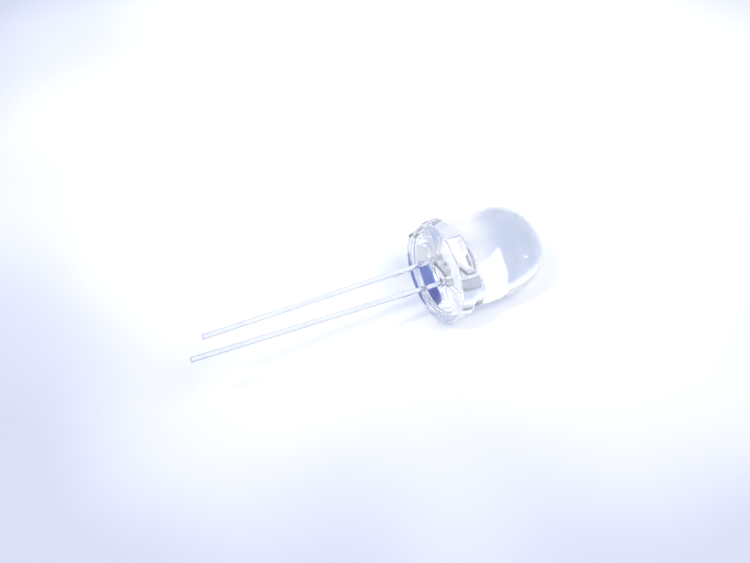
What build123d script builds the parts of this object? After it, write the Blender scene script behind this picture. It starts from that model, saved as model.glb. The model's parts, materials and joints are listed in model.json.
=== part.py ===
"""A 10 mm round water-clear through-hole LED, lying on a table as it comes to rest.

The lens body is one casting of clear epoxy. Two stampings of one lead frame are set in it:
the cathode lead, which ends in the anvil with the reflector cup, and the anode lead, which
ends in the post. The chip is glued into the cup, and two bond wires join it to the stampings.

The LED rests on the front edge of its flange and on the shoulder of its dome, so its dome end
dips and its leads rise clear of the table. +X runs level from the leads to the dome, +Z is up,
and the origin lies on the table under the middle of the whole part. Millimetres.
"""
from math import acos, atan2, cos, hypot, radians, sin
import os

from build123d import *

# Lens body, with heights measured along its axis from the back rim of the flange
body_radius = 5.0
dome_centre_height = 8.1          # the dome is half a ball on the end of the barrel
flange_lip = 0.65                 # how far the flange stands out from the barrel
flange_thickness = 1.8
flange_edge_fillet = 0.2
flange_root_fillet = 0.12
flat_proud = 0.1                  # the cathode flat, out from the barrel's surface

# Back face, where the epoxy was poured: sunk inside a rim, and drawn up by the leads
rim_width = 0.95
recess_depth = 0.4
meniscus_radius = 0.3
rim_fillet = 0.1
collar_height = 0.3
collar_reach = 0.35               # how far the foot of a collar spreads from its tip
collar_lip = 0.05                 # skin of epoxy left at the collar's tip

# Lead frame, stamped from one strip
sheet_thickness = 0.5
lead_width = 0.5
lead_pitch = 2.54
anode_length = 28.2               # below the back rim
cathode_length = 26.3
anode_toe_in = 0.75               # how far the anode's tip leans towards the axis
straight_length = 0.8             # the leads are straight this far below the rim
tie_bar_depth = 4.0               # middle of the cropped tie bar, below the rim
tie_bar_width = 0.8
tie_bar_stub = 0.06
neck_height = 1.0                 # the stampings widen above this

# Anvil, reflector cup and post, the ends of the stampings inside the lens
anvil_height = 3.8
anvil_shoulder = 0.25             # how far the anvil stands out past its lead
anvil_slope = 1.1                 # rise of the shoulder
anvil_tip_depth = 1.2             # depth of the anvil under the cup's far side
cup_radius = 0.85
cup_wall = 0.17
cup_depth = 0.45
cup_outer_depth = 0.85
post_gap = 0.35                   # between the cup and the post
post_width = 0.75
post_height = 4.05
post_slope = 1.3

# Chip, its adhesive and the bond wires
chip_size = 0.35
chip_thickness = 0.12
chip_clearance = 0.17             # cup floor left bare beyond the chip's corners
die_attach_thickness = 0.03
die_attach_spread = 0.05          # beyond the chip's corners
pad_offset = 0.1                  # the chip's two pads, from its middle
wire_diameter = 0.04
wire_rise = 0.35                  # top of a wire's loop above the higher of its two ends
wire_bend_radius = 0.15
bond_diameter = 0.1
bond_thickness = 0.03

roll_angle = 32.0                 # of the cathode, above the level of the axis

# Sizes that follow
flange_radius = body_radius + flange_lip
flat_distance = body_radius + flat_proud
recess_radius = flange_radius - rim_width
lead_x = lead_pitch / 2
lead_inner = lead_x - lead_width / 2
lead_outer = lead_x + lead_width / 2
tie_bar_top = -tie_bar_depth + tie_bar_width / 2
tie_bar_foot = -tie_bar_depth - tie_bar_width / 2
chip_corner = chip_size / 2 * 2**0.5
cup_mouth_radius = cup_radius - cup_wall
cup_floor_radius = chip_corner + chip_clearance
cup_floor_height = anvil_height - cup_depth
chip_seat_height = cup_floor_height + die_attach_thickness
chip_top_height = chip_seat_height + chip_thickness
anvil_outer = lead_outer + anvil_shoulder
post_inner = -cup_radius - post_gap
post_outer = post_inner - post_width

# The LED leans until the rounded front edge of its flange and its dome both touch the table
edge_radius = flange_radius - flange_edge_fillet
edge_to_dome = dome_centre_height - flange_thickness + flange_edge_fillet
dip = (acos((body_radius - flange_edge_fillet) / hypot(edge_radius, edge_to_dome))
       - atan2(edge_to_dome, edge_radius))
axis_height = body_radius + dome_centre_height * sin(dip)

# The middle of the part along X lies halfway from the anode's tip to the front of the dome
roll = radians(roll_angle)
tip_x = anode_toe_in - lead_x
tip_drop = (lead_width / 2 - tip_x) * sin(roll) + sheet_thickness / 2 * cos(roll)
longest_lead = max(anode_length, cathode_length)
back_end = -longest_lead * cos(dip) - tip_drop * sin(dip)
front_end = dome_centre_height * cos(dip) + body_radius

# The LED's own plane, in the back rim: z runs to the dome and x towards the cathode.
# Profiles lie in the plane of the leads, with the same x and with y towards the dome.
led = Plane(
    origin=(-(back_end + front_end) / 2, 0, axis_height),
    x_dir=(sin(roll) * sin(dip), cos(roll), sin(roll) * cos(dip)),
    z_dir=(cos(dip), 0, -sin(dip)),
)
profile = Plane(origin=led.origin, x_dir=led.x_dir, z_dir=-led.y_dir)


def axis_at(x):
    """A line along the LED, x away from its middle towards the cathode."""
    return Axis(origin=profile.from_local_coords((x, 0, 0)), direction=led.z_dir)


def anode_x(height):
    """Middle of the anode at a height. It leans once it is clear of the body."""
    lean = (height + straight_length) / (straight_length - anode_length)
    return anode_toe_in * max(lean, 0) - lead_x


# Cathode lead: lead, cropped tie bar and anvil, with the reflector cup sunk in the anvil
with BuildPart() as cathode_lead:
    with BuildSketch(profile):
        with BuildLine():
            Polyline(
                (lead_inner, -cathode_length),
                (lead_outer, -cathode_length),
                (lead_outer, tie_bar_foot),
                (lead_outer + tie_bar_stub, tie_bar_foot),
                (lead_outer + tie_bar_stub, tie_bar_top),
                (lead_outer, tie_bar_top),
                (lead_outer, neck_height),
                (anvil_outer, neck_height + anvil_slope),
                (anvil_outer, anvil_height),
                (-cup_radius, anvil_height),
                (-cup_radius, anvil_height - anvil_tip_depth),
                (lead_inner, neck_height),
                (lead_inner, tie_bar_top),
                (lead_inner - tie_bar_stub, tie_bar_top),
                (lead_inner - tie_bar_stub, tie_bar_foot),
                (lead_inner, tie_bar_foot),
                close=True,
            )
        make_face()
    extrude(amount=sheet_thickness / 2, both=True)
    with BuildSketch(profile):
        with BuildLine():
            Polyline(
                (0, anvil_height),
                (cup_radius, anvil_height),
                (cup_floor_radius, anvil_height - cup_outer_depth),
                (0, anvil_height - cup_outer_depth),
                close=True,
            )
        make_face()
    revolve(axis=axis_at(0))
    with BuildSketch(profile):
        with BuildLine():
            Polyline(
                (0, anvil_height),
                (cup_mouth_radius, anvil_height),
                (cup_floor_radius, cup_floor_height),
                (0, cup_floor_height),
                close=True,
            )
        make_face()
    revolve(axis=axis_at(0), mode=Mode.SUBTRACT)

# Anode lead: lead, cropped tie bar and post
with BuildPart() as anode_lead:
    half = lead_width / 2
    stub = half + tie_bar_stub
    with BuildSketch(profile):
        with BuildLine():
            Polyline(
                (tip_x - half, -anode_length),
                (tip_x + half, -anode_length),
                (anode_x(tie_bar_foot) + half, tie_bar_foot),
                (anode_x(tie_bar_foot) + stub, tie_bar_foot),
                (anode_x(tie_bar_top) + stub, tie_bar_top),
                (anode_x(tie_bar_top) + half, tie_bar_top),
                (-lead_inner, -straight_length),
                (-lead_inner, neck_height),
                (post_inner, neck_height + post_slope),
                (post_inner, post_height),
                (post_outer, post_height),
                (post_outer, neck_height + post_slope),
                (-lead_outer, neck_height),
                (-lead_outer, -straight_length),
                (anode_x(tie_bar_top) - half, tie_bar_top),
                (anode_x(tie_bar_top) - stub, tie_bar_top),
                (anode_x(tie_bar_foot) - stub, tie_bar_foot),
                (anode_x(tie_bar_foot) - half, tie_bar_foot),
                close=True,
            )
        make_face()
    extrude(amount=sheet_thickness / 2, both=True)

# Adhesive on the cup's floor, and the chip on it
with BuildPart() as die_attach:
    with BuildSketch(led.offset(cup_floor_height)):
        Circle(chip_corner + die_attach_spread)
    extrude(amount=die_attach_thickness)

with BuildPart() as led_chip:
    with BuildSketch(led.offset(chip_seat_height)):
        Rectangle(chip_size, chip_size)
    extrude(amount=chip_thickness)


def bond_wire(pad_x, seat_x, seat_height):
    """A gold wire up from a pad of the chip, over, and down on to a stamping."""
    top = max(chip_top_height, seat_height) + wire_rise
    with BuildPart() as wire:
        with BuildLine(profile) as path:
            FilletPolyline(
                (pad_x, chip_top_height),
                (pad_x, top),
                (seat_x, top),
                (seat_x, seat_height),
                radius=wire_bend_radius,
            )
        with BuildSketch(led.offset(chip_top_height)):
            with Locations((pad_x, 0)):
                Circle(wire_diameter / 2)
        sweep(path=path.line)
        for bond_x, bond_height in ((pad_x, chip_top_height), (seat_x, seat_height)):
            with BuildSketch(led.offset(bond_height)):
                with Locations((bond_x, 0)):
                    Circle(bond_diameter / 2)
            extrude(amount=bond_thickness)
    return wire


cathode_wire = bond_wire(pad_offset, (cup_mouth_radius + anvil_outer) / 2, anvil_height)
anode_wire = bond_wire(-pad_offset, (post_inner + post_outer) / 2, post_height)

# Lens body, cast round all of them
with BuildPart() as lens_body:
    with BuildSketch(profile):
        with BuildLine():
            Polyline(
                (0, dome_centre_height + body_radius),
                (0, recess_depth),
                (recess_radius, recess_depth),
                (recess_radius, 0),
                (flange_radius, 0),
                (flange_radius, flange_thickness),
                (body_radius, flange_thickness),
                (body_radius, dome_centre_height),
            )
            CenterArc((0, dome_centre_height), body_radius, 0, 90)
        make_face()
        at_flange = vertices().filter_by(lambda v: v.X > flange_radius - rim_width / 2)
        fillet(at_flange, radius=flange_edge_fillet)
        root = vertices().sort_by_distance((body_radius, flange_thickness))[0]
        fillet(root, radius=flange_root_fillet)
        meniscus = vertices().sort_by_distance((recess_radius, recess_depth))[0]
        fillet(meniscus, radius=meniscus_radius)
        rim = vertices().sort_by_distance((recess_radius, 0))[0]
        fillet(rim, radius=rim_fillet)
    revolve(axis=axis_at(0))
    with BuildSketch(led):
        with Locations((flat_distance, 0)):
            Rectangle(flange_radius, 2 * flange_radius, align=(Align.MIN, Align.CENTER))
    extrude(amount=flange_thickness, mode=Mode.SUBTRACT)
    for middle_x in (-lead_x, lead_x):
        tip = (middle_x + hypot(lead_width, sheet_thickness) / 2 + collar_lip,
               recess_depth - collar_height)
        foot = (tip[0] + collar_reach, recess_depth)
        with BuildSketch(profile):
            with BuildLine():
                RadiusArc(foot, tip, -(collar_height + collar_reach) / 2 * 1.1)
                Polyline(tip, (middle_x, tip[1]), (middle_x, foot[1]), foot)
            make_face()
        revolve(axis=axis_at(middle_x))
    for inside in (cathode_lead, anode_lead, die_attach, led_chip, cathode_wire, anode_wire):
        add(inside.part, mode=Mode.SUBTRACT)

pieces = {
    "lens_body": lens_body,
    "cathode_lead": cathode_lead,
    "anode_lead": anode_lead,
    "die_attach": die_attach,
    "led_chip": led_chip,
    "cathode_wire": cathode_wire,
    "anode_wire": anode_wire,
}
os.makedirs("parts", exist_ok=True)
for name, piece in pieces.items():
    piece.part.label = name
    export_step(piece.part, f"parts/{name}.step")
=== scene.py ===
# %% [markdown]
# A water-clear LED with a 10 mm lens, lying on a pale table.
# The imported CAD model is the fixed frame: it says where each piece is and how large. Blender
# adds what CAD leaves plain: a lens smooth enough to see through, soft edges on the stamped
# leads, and every finish. All sizes below are in metres, made from millimetres by mm.

import json
from math import cos, hypot, pi, radians, sin

import bpy
from mathutils import Matrix, Vector


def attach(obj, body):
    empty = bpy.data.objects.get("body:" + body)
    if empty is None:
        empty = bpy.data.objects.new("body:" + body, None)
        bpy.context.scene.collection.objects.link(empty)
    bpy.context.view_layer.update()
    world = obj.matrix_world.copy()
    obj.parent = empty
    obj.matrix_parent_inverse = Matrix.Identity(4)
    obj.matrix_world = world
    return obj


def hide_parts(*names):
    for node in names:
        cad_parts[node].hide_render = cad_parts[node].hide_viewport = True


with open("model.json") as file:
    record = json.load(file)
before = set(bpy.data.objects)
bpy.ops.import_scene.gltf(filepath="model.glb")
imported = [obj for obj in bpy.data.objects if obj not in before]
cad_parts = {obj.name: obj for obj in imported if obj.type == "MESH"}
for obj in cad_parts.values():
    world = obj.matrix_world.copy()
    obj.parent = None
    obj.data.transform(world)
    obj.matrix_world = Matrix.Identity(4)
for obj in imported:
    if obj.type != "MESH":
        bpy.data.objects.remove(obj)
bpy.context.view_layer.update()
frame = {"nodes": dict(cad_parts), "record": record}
nodes = frame["nodes"]
mm = 0.001
print("nodes:", sorted(nodes))

# %% [markdown]
# The LED leans on the table, so its own axis isn't one of the world's. Its mounts in the
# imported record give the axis: the barrel's direction and the middle of its back rim. A matrix
# built from them takes LED coordinates (x to the cathode, y across the leads, z to the dome)
# to the table's, and every piece is drawn in LED coordinates first.

# %% The LED's own coordinates
mounts = {mount["name"]: mount for mount in frame["record"]["mounts"]}
barrel = mounts["barrel"]
axis = Vector(barrel["axis"]).normalized()
body_radius = barrel["dims"]["r_mm"] * mm
barrel_length = barrel["dims"]["length_mm"] * mm
rim_direction = Vector(mounts["back_rim"]["pos_m"])
rim_height = rim_direction.dot(axis)
axis_point = Vector(barrel["pos_m"])
led_origin = axis_point + axis * (rim_height - axis_point.dot(axis))
across = (rim_direction - led_origin).normalized()
to_cathode = across.cross(axis)
led = Matrix((to_cathode, across, axis)).transposed().to_4x4()
led.translation = led_origin
print("LED origin in mm:", [round(c / mm, 3) for c in led_origin])

# %% [markdown]
# The lens was cast in a polished cup with the leads hanging into it. Its outer shape is one
# round profile: dome, barrel and flange from the cup, and at the open end the level that the
# epoxy found by itself, sunk inside a rim. Such a shape could be built from cylinders and
# booleans, but a spun profile gives one clean skin, and clear material shows every seam.

# %% Sizes of the lens
flange_thickness = axis_point.dot(axis) - rim_height - barrel_length / 2
dome_height = flange_thickness + barrel_length
flange_lip = 0.65 * mm
flange_radius = body_radius + flange_lip
edge_round = 0.2 * mm
root_round = 0.12 * mm
rim_width = 0.95 * mm
recess_radius = flange_radius - rim_width
recess_depth = 0.4 * mm
meniscus_round = 0.3 * mm
rim_round = 0.1 * mm
flat_proud = 0.1 * mm
flat_distance = body_radius + flat_proud
print("flange thickness and start of the dome in mm:",
      round(flange_thickness / mm, 2), round(dome_height / mm, 2))


# %% Tools for drawing
def alone(piece):
    """Makes a piece the only selected one, and active."""
    bpy.ops.object.select_all(action="DESELECT")
    piece.select_set(True)
    bpy.context.view_layer.objects.active = piece


def arc(centre, radius, start, end, steps):
    """Points of an arc in the profile's plane, with angles in degrees."""
    angles = [radians(start + (end - start) * i / steps) for i in range(steps + 1)]
    return [(centre[0] + radius * cos(a), centre[1] + radius * sin(a)) for a in angles]


def spun(name, outline, steps, middle_x=0.0):
    """A round solid: a profile of (radius, height) points, drawn by extruding one vertex
    from point to point, then spun about an axis of the LED."""
    bpy.ops.object.select_all(action="DESELECT")
    bpy.ops.mesh.primitive_plane_add(size=mm)
    piece = bpy.context.object
    piece.name = piece.data.name = name
    bpy.ops.object.mode_set(mode="EDIT")
    bpy.ops.mesh.merge(type="CENTER")
    points = [Vector((middle_x + r, 0, h)) for r, h in outline]
    bpy.ops.transform.translate(value=points[0])
    for before, after in zip(points, points[1:]):
        bpy.ops.mesh.extrude_region_move(TRANSFORM_OT_translate={"value": after - before})
    bpy.ops.mesh.select_all(action="SELECT")
    bpy.ops.mesh.spin(steps=steps, angle=2 * pi, center=(middle_x, 0, 0), axis=(0, 0, 1))
    bpy.ops.mesh.select_all(action="SELECT")
    bpy.ops.mesh.remove_doubles(threshold=0.002 * mm)
    bpy.ops.mesh.normals_make_consistent(inside=False)
    bpy.ops.object.mode_set(mode="OBJECT")
    print(name, len(piece.data.polygons), "faces")
    return piece


# %% Spin the lens
flange_edge = flange_radius - edge_round
root = (body_radius + root_round, flange_thickness + root_round)
rim = (recess_radius + rim_round, rim_round)
meniscus = (recess_radius - meniscus_round, recess_depth - meniscus_round)
lens_outline = arc((0, dome_height), body_radius, 90, 0, 60)
lens_outline += [(body_radius, dome_height - barrel_length * i / 8) for i in range(1, 8)]
lens_outline += arc(root, root_round, 180, 270, 5)
lens_outline += arc((flange_edge, flange_thickness - edge_round), edge_round, 90, 0, 8)
lens_outline += arc((flange_edge, edge_round), edge_round, 0, -90, 8)
lens_outline += arc(rim, rim_round, -90, -180, 6)
lens_outline += arc(meniscus, meniscus_round, 0, 90, 8)
lens_outline += [(recess_radius * i / 6, recess_depth) for i in range(4, -1, -1)]
lens = spun("clear_lens", lens_outline, 180)

# %% [markdown]
# The flange has one flat side, which tells an assembler where the cathode is. On the real
# part the mould makes it. Here a bisect cuts it: the flange is the only part of the lens that
# reaches past the plane, so one cut through the whole mesh trims it alone.

# %% Cut the cathode flat
alone(lens)
bpy.ops.object.mode_set(mode="EDIT")
bpy.ops.mesh.select_all(action="SELECT")
bpy.ops.mesh.bisect(
    plane_co=(flat_distance, 0, 0), plane_no=(1, 0, 0), use_fill=True, clear_outer=True
)
bpy.ops.object.mode_set(mode="OBJECT")
print("lens after the flat:", len(lens.data.polygons), "faces")

# %% [markdown]
# Where a lead leaves the epoxy, the liquid climbed it a little and set as a hollow cone. The
# two collars are spun about the leads and joined to the lens by a boolean, so that no skin is
# left inside the clear body.

# %% Collars of epoxy round the leads
lead_pitch = 2.54 * mm
lead_size = 0.5 * mm
collar_height = 0.3 * mm
collar_reach = 0.35 * mm
tip_radius = hypot(lead_size, lead_size) / 2 + 0.05 * mm
collar_foot = recess_depth + 0.1 * mm
collar_curve = [
    (tip_radius + collar_reach * (1 - sin(a)), recess_depth - collar_height * (1 - cos(a)))
    for a in [pi / 2 * i / 8 for i in range(9)]
]
collar_outline = [(0, collar_foot), (tip_radius + collar_reach, collar_foot)] + collar_curve
collar_outline += [(0, recess_depth - collar_height)]
for side in (-1, 1):
    collar = spun("collar", collar_outline, 48, side * lead_pitch / 2)
    alone(lens)
    weld = lens.modifiers.new("weld", "BOOLEAN")
    weld.operation = "UNION"
    weld.solver = "EXACT"
    weld.object = collar
    bpy.ops.object.modifier_apply(modifier="weld")
    bpy.data.objects.remove(collar)
print("lens with collars:", len(lens.data.polygons), "faces")

# %% Put the lens in its place
lens.data.transform(led)
alone(lens)
bpy.ops.object.shade_smooth_by_angle(angle=radians(20))
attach(lens, "root")
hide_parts("lens_body")

# %% [markdown]
# The leads are stamped from strip, then plated, so their edges are slightly round and each
# edge carries a thin line of light. The CAD stampings have the right shape but knife edges. A
# copy of each is merged and bevelled, which keeps every size and softens only the corners.


# %% Stampings with soft edges
def softened(node, name, width):
    """A copy of a CAD node with its sharp edges bevelled, which stands for that node."""
    source = nodes[node]
    piece = source.copy()
    piece.data = source.data.copy()
    piece.name = piece.data.name = name
    for key in [k for k in piece.keys() if k.startswith("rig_")]:
        del piece[key]
    piece.parent = None
    bpy.context.scene.collection.objects.link(piece)
    alone(piece)
    bpy.ops.object.mode_set(mode="EDIT")
    bpy.ops.mesh.select_all(action="SELECT")
    bpy.ops.mesh.remove_doubles(threshold=0.001 * mm)
    bpy.ops.mesh.dissolve_limited(angle_limit=radians(1))
    bpy.ops.object.mode_set(mode="OBJECT")
    bpy.ops.object.shade_smooth()
    bevel = piece.modifiers.new("bevel", "BEVEL")
    bevel.width = width
    bevel.segments = 3
    bevel.limit_method = "ANGLE"
    bevel.angle_limit = radians(40)
    bevel.harden_normals = True
    bpy.ops.object.modifier_apply(modifier="bevel")
    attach(piece, "root")
    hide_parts(node)
    print(name, len(piece.data.polygons), "faces")
    return piece


corner_width = 0.13 * mm
cathode = softened("cathode_lead", "cathode_stamping", corner_width)
anode = softened("anode_lead", "anode_stamping", corner_width)

# %% [markdown]
# Finishes are node materials. Each starts from one Principled shader whose constant values
# sit on its own sockets, and only what varies over the surface comes in by a link. Patterns
# read Object coordinates, turned into the LED's own directions by a Mapping node, so that
# lines on the leads run along them.


# %% Helpers for materials
def material(name, **values):
    """A new node material with the Principled sockets that are given."""
    made = bpy.data.materials.new(name)
    made.use_nodes = True
    shader = made.node_tree.nodes["Principled BSDF"]
    for socket, value in values.items():
        shader.inputs[socket.replace("_", " ")].default_value = value
    return made, made.node_tree, shader


def led_coordinates(tree, scale):
    """Object coordinates along the LED, stretched by scale."""
    spot = tree.nodes.new("ShaderNodeTexCoord")
    turn = tree.nodes.new("ShaderNodeMapping")
    turn.vector_type = "POINT"
    back = led.inverted()
    turn.inputs["Rotation"].default_value = back.to_euler()
    turn.inputs["Location"].default_value = back.translation
    stretch = tree.nodes.new("ShaderNodeMapping")
    stretch.inputs["Scale"].default_value = scale
    tree.links.new(spot.outputs["Object"], turn.inputs["Vector"])
    tree.links.new(turn.outputs["Vector"], stretch.inputs["Vector"])
    return stretch.outputs["Vector"]


def noise(tree, vector, scale, detail=3.0):
    """A noise pattern on a vector."""
    made = tree.nodes.new("ShaderNodeTexNoise")
    made.inputs["Scale"].default_value = scale
    made.inputs["Detail"].default_value = detail
    tree.links.new(vector, made.inputs["Vector"])
    return made.outputs["Fac"]


def ramp(tree, factor, low, high, start=0.35, end=0.65):
    """Takes a factor's range from start to end over to values or colours low to high."""
    made = tree.nodes.new("ShaderNodeValToRGB")
    made.color_ramp.elements[0].position = start
    made.color_ramp.elements[1].position = end
    made.color_ramp.elements[0].color = low
    made.color_ramp.elements[1].color = high
    tree.links.new(factor, made.inputs["Fac"])
    return made.outputs["Color"]


def grey(value):
    """A grey colour."""
    return (value, value, value, 1)


def bump(tree, shader, height, strength, distance):
    """Raises a surface by a height pattern."""
    made = tree.nodes.new("ShaderNodeBump")
    made.inputs["Strength"].default_value = strength
    made.inputs["Distance"].default_value = distance
    tree.links.new(height, made.inputs["Height"])
    tree.links.new(made.outputs["Normal"], shader.inputs["Normal"])


# %% [markdown]
# Clear epoxy bends light more than window glass. Its mould was polished, but the surface is
# never perfect: it carries a very slow waviness and a few faint smears.

# %% Clear epoxy
epoxy, tree, shader = material("clear_epoxy", Base_Color=(0.993, 0.996, 1.0, 1), IOR=1.54)
shader.inputs["Transmission Weight"].default_value = 1.0
along = led_coordinates(tree, (1, 1, 0.4))
smears = noise(tree, along, 300)
tree.links.new(ramp(tree, smears, grey(0.0), grey(0.03)), shader.inputs["Roughness"])
bump(tree, shader, noise(tree, along, 180, 1.0), 0.06, 0.05 * mm)
lens.data.materials.clear()
lens.data.materials.append(epoxy)

# %% [markdown]
# Outside the lens the leads are bright tin with fine lines that the strip's rolling left along
# them, and their corners carry a thin painted dark line, a painted reflection of dark
# surroundings on the rounded edges. A corner is where the surface faces none of the LED's own
# directions, so the normal, turned into LED directions, finds it. Inside the lens the frame is
# matt silver: height above the back face tells the two apart.


# %% Helpers for the plating
def calculated(tree, operation, first, second=None):
    """A Math node on one or two values."""
    made = tree.nodes.new("ShaderNodeMath")
    made.operation = operation
    tree.links.new(first, made.inputs[0])
    if second is not None:
        tree.links.new(second, made.inputs[1])
    return made.outputs["Value"]


def squareness(tree):
    """1 where the surface faces along, across or up the LED, less on corners."""
    surface = tree.nodes.new("ShaderNodeNewGeometry")
    turn = tree.nodes.new("ShaderNodeMapping")
    turn.vector_type = "NORMAL"
    turn.inputs["Rotation"].default_value = led.inverted().to_euler()
    size = tree.nodes.new("ShaderNodeVectorMath")
    size.operation = "ABSOLUTE"
    parts = tree.nodes.new("ShaderNodeSeparateXYZ")
    tree.links.new(surface.outputs["Normal"], turn.inputs["Vector"])
    tree.links.new(turn.outputs["Vector"], size.inputs[0])
    tree.links.new(size.outputs["Vector"], parts.inputs["Vector"])
    flat = calculated(tree, "MAXIMUM", parts.outputs["X"], parts.outputs["Y"])
    return calculated(tree, "MAXIMUM", flat, parts.outputs["Z"])


# %% Plated steel
plated, tree, shader = material("plated_lead", Metallic=1.0)
along = led_coordinates(tree, (1, 1, 0.02))
lines = noise(tree, along, 9000, 2.0)
cloud = noise(tree, led_coordinates(tree, (1, 1, 1)), 900)
place = tree.nodes.new("ShaderNodeSeparateXYZ")
tree.links.new(led_coordinates(tree, (1, 1, 1)), place.inputs["Vector"])


def by_height(outside, within):
    """Goes from one value outside the lens to another within it, near the back face."""
    return ramp(tree, place.outputs["Z"], grey(outside), grey(within), 0.2 * mm, 0.8 * mm)


inside = by_height(0.0, 1.0)
tin = ramp(tree, lines, (0.84, 0.845, 0.86, 1), (0.93, 0.93, 0.94, 1))
# Corners of the leads outside the lens are painted dark, a painted reflection of dark
# surroundings.
painted_edge_line = ramp(tree, squareness(tree), grey(0.0), grey(1.0), 0.9, 0.99)
tin_without_edge_line = calculated(tree, "MAXIMUM", painted_edge_line, inside)
colour = tree.nodes.new("ShaderNodeMix")
colour.data_type = "RGBA"
# This dark colour is the painted reflection on the leads' corners.
colour.inputs["A"].default_value = (0.13, 0.15, 0.17, 1)
tree.links.new(tin_without_edge_line, colour.inputs["Factor"])
tree.links.new(tin, colour.inputs["B"])
tree.links.new(colour.outputs["Result"], shader.inputs["Base Color"])
dull = by_height(0.0, 0.42)
tree.links.new(by_height(1.0, 0.45), shader.inputs["Metallic"])
shine = ramp(tree, cloud, grey(0.12), grey(0.2))
tree.links.new(calculated(tree, "ADD", shine, dull), shader.inputs["Roughness"])
bump(tree, shader, lines, 0.25, 0.004 * mm)
for stamping in (cathode, anode):
    stamping.data.materials.clear()
    stamping.data.materials.append(plated)

# %% Gold wire, silver adhesive and the chip
gold, tree, shader = material("gold_wire", Metallic=1.0, Roughness=0.2)
tint = noise(tree, led_coordinates(tree, (1, 1, 1)), 6000)
yellow = ramp(tree, tint, (0.86, 0.62, 0.25, 1), (0.95, 0.75, 0.38, 1))
tree.links.new(yellow, shader.inputs["Base Color"])

adhesive, tree, shader = material("die_adhesive", Metallic=0.6, Roughness=0.55)
flakes = noise(tree, led_coordinates(tree, (1, 1, 1)), 40000)
tree.links.new(ramp(tree, flakes, grey(0.5), grey(0.8)), shader.inputs["Base Color"])

chip, tree, shader = material("chip", Metallic=0.2, Roughness=0.12, IOR=1.77)
mesa = noise(tree, led_coordinates(tree, (1, 1, 1)), 12000)
blue_grey = ramp(tree, mesa, (0.32, 0.4, 0.52, 1), (0.5, 0.6, 0.72, 1))
tree.links.new(blue_grey, shader.inputs["Base Color"])

finishes = {"cathode_wire": gold, "anode_wire": gold, "die_attach": adhesive, "led_chip": chip}
for node, finish in finishes.items():
    nodes[node].data.materials.clear()
    nodes[node].data.materials.append(finish)
print("finishes:", sorted(finishes))

# %% [markdown]
# The table is a pale sheet under cool light, with a painted pool of light round the part: its
# colour is painted darker and a little bluer further out, as painted shade. It is almost white
# to look at, so a little of its brightness is added for rays that look at it, straight, through
# the lens or mirrored, and never for the ones that carry its light to the part.

# %% Table
bpy.ops.object.select_all(action="DESELECT")
bpy.ops.mesh.primitive_plane_add(size=1.2, location=(0, 0, 0))
table = bpy.context.object
table.name = "table"
sheet, tree, shader = material("white_sheet", Roughness=0.9)
shader.inputs["Specular IOR Level"].default_value = 0.1
spot = tree.nodes.new("ShaderNodeTexCoord")
middle = tree.nodes.new("ShaderNodeVectorMath")
middle.operation = "DISTANCE"
middle.inputs[1].default_value = Vector((23, 27, 0)) * mm
tree.links.new(spot.outputs["Object"], middle.inputs[0])
patches = noise(tree, spot.outputs["Object"], 30, 1.0)
reach = tree.nodes.new("ShaderNodeMath")
reach.operation = "MULTIPLY_ADD"
reach.inputs[1].default_value = 0.03
tree.links.new(patches, reach.inputs[0])
tree.links.new(middle.outputs["Value"], reach.inputs[2])
# Near a point by the part the sheet keeps its pale colour, and from about 58 mm to 81 mm out it
# fades to a darker one: a painted pool of light with painted shade beyond.
near_colour = (0.9, 0.85, 0.83, 1)
far_painted_shade = (0.52, 0.49, 0.53, 1)
painted_light_pool = ramp(tree, reach.outputs["Value"], near_colour, far_painted_shade, 0.058, 0.081)
tree.links.new(painted_light_pool, shader.inputs["Base Color"])
glow = tree.nodes.new("ShaderNodeEmission")
glow.inputs["Color"].default_value = (0.55, 0.78, 1.0, 1)
rays = tree.nodes.new("ShaderNodeLightPath")
total = tree.nodes.new("ShaderNodeAddShader")
straight = rays.outputs["Is Camera Ray"]
through = calculated(tree, "MAXIMUM", straight, rays.outputs["Is Transmission Ray"])
seen = calculated(tree, "MAXIMUM", through, rays.outputs["Is Glossy Ray"])
tree.links.new(ramp(tree, seen, grey(0.0), grey(0.27), 0.0, 1.0), glow.inputs["Strength"])
tree.links.new(shader.outputs["BSDF"], total.inputs[0])
tree.links.new(glow.outputs["Emission"], total.inputs[1])
tree.links.new(total.outputs["Shader"], tree.nodes["Material Output"].inputs["Surface"])
table.data.materials.append(sheet)

# %% [markdown]
# Clear things show nothing of their own: what you see in the lens is the room and the table,
# bent. The room is pale and a little blue, brighter near its horizon. A dark blue stretch of
# wall, with a corner above it, shows up deep in the lens. A small dark shelf draws thin lines
# in it, and a bright pane overhead is what the leads reflect. Light that enters a clear body
# bounces inside it many times before it leaves, so the bounce limits are raised too.

# %% Room
world = bpy.data.worlds.new("room")
bpy.context.scene.world = world
world.use_nodes = True
tree = world.node_tree
spot = tree.nodes.new("ShaderNodeTexCoord")


def towards(direction, start, end, low, high):
    """A colour that goes from low to high as the view turns to a direction."""
    facing = tree.nodes.new("ShaderNodeVectorMath")
    facing.operation = "DOT_PRODUCT"
    facing.inputs[1].default_value = Vector(direction).normalized()
    tree.links.new(spot.outputs["Generated"], facing.inputs[0])
    return ramp(tree, facing.outputs["Value"], low, high, start, end)


def multiplied(first, second):
    """Two colours multiplied."""
    mix = tree.nodes.new("ShaderNodeMix")
    mix.data_type = "RGBA"
    mix.blend_type = "MULTIPLY"
    mix.inputs["Factor"].default_value = 1.0
    tree.links.new(first, mix.inputs["A"])
    tree.links.new(second, mix.inputs["B"])
    return mix.outputs["Result"]


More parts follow.
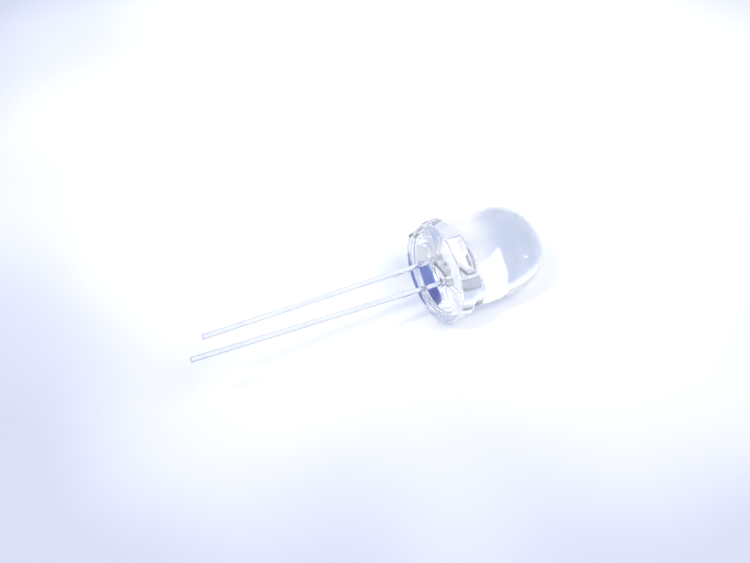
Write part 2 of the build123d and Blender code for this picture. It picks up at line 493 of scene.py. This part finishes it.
sky = towards((0, 0, 1), 0.1, 0.75, (0.97, 0.985, 1.0, 1), (0.5, 0.62, 0.95, 1))
wall = towards((0.78, -0.36, 0.5), 0.93, 0.955, (1, 1, 1, 1), (0.13, 0.24, 0.66, 1))
corner = towards((0.72, -0.06, 0.75), 0.965, 0.98, (1, 1, 1, 1), (0.16, 0.18, 0.62, 1))
shelf = towards((0.46, 0.81, 0.3), 0.975, 0.988, (1, 1, 1, 1), (0.16, 0.19, 0.21, 1))
pane = towards((0.36, -0.38, 0.85), 0.935, 0.96, (1, 1, 1, 1), (2.7, 2.3, 1.7, 1))
background = tree.nodes["Background"]
walls = multiplied(sky, multiplied(wall, corner))
room = multiplied(walls, multiplied(shelf, pane))
tree.links.new(room, background.inputs["Color"])
background.inputs["Strength"].default_value = 0.78
bpy.context.scene.view_settings.view_transform = "Standard"
cycles = bpy.context.scene.cycles
cycles.max_bounces = cycles.glossy_bounces = cycles.transmission_bounces = 64
print("world ready")


# %% [markdown]
# Two soft lamps light the table, the larger from the camera's side and the smaller from the
# left. They throw the faint shadows of the leads and the light patch that the lens gathers.


# %% Lamps
def lamp(name, direction, distance, width, height, power, colour):
    """A flat lamp that shines at the LED from a direction."""
    data = bpy.data.lights.new(name, "AREA")
    data.shape = "RECTANGLE"
    data.size = width
    data.size_y = height
    data.energy = power
    data.color = colour
    made = bpy.data.objects.new(name, data)
    made.location = Vector(direction).normalized() * distance + led_origin
    made.rotation_euler = Vector(direction).to_track_quat("Z", "Y").to_euler()
    made.visible_glossy = False
    bpy.context.scene.collection.objects.link(made)


lamp("window", (0.17, -0.5, 0.85), 0.5, 0.28, 0.18, 1.2, (1.0, 0.91, 0.8))
lamp("side", (-0.5, -0.12, 0.84), 0.5, 0.06, 0.04, 0.6, (1.0, 0.93, 0.84))

# %% [markdown]
# The camera looks down on the part from the side of its leads.

# %% Camera
camera_spot = Vector((-42.1, -75.4, 99.4)) * mm
camera_aim = Vector((1.33, 1.81, 6.0)) * mm
camera_data = bpy.data.cameras.new("camera")
camera_data.lens = 58.2
camera_data.clip_start = 0.005
camera = bpy.data.objects.new("camera", camera_data)
camera.location = camera_spot
camera.rotation_euler = (camera_aim - camera_spot).to_track_quat("-Z", "Y").to_euler()
bpy.context.scene.collection.objects.link(camera)
bpy.context.scene.camera = camera
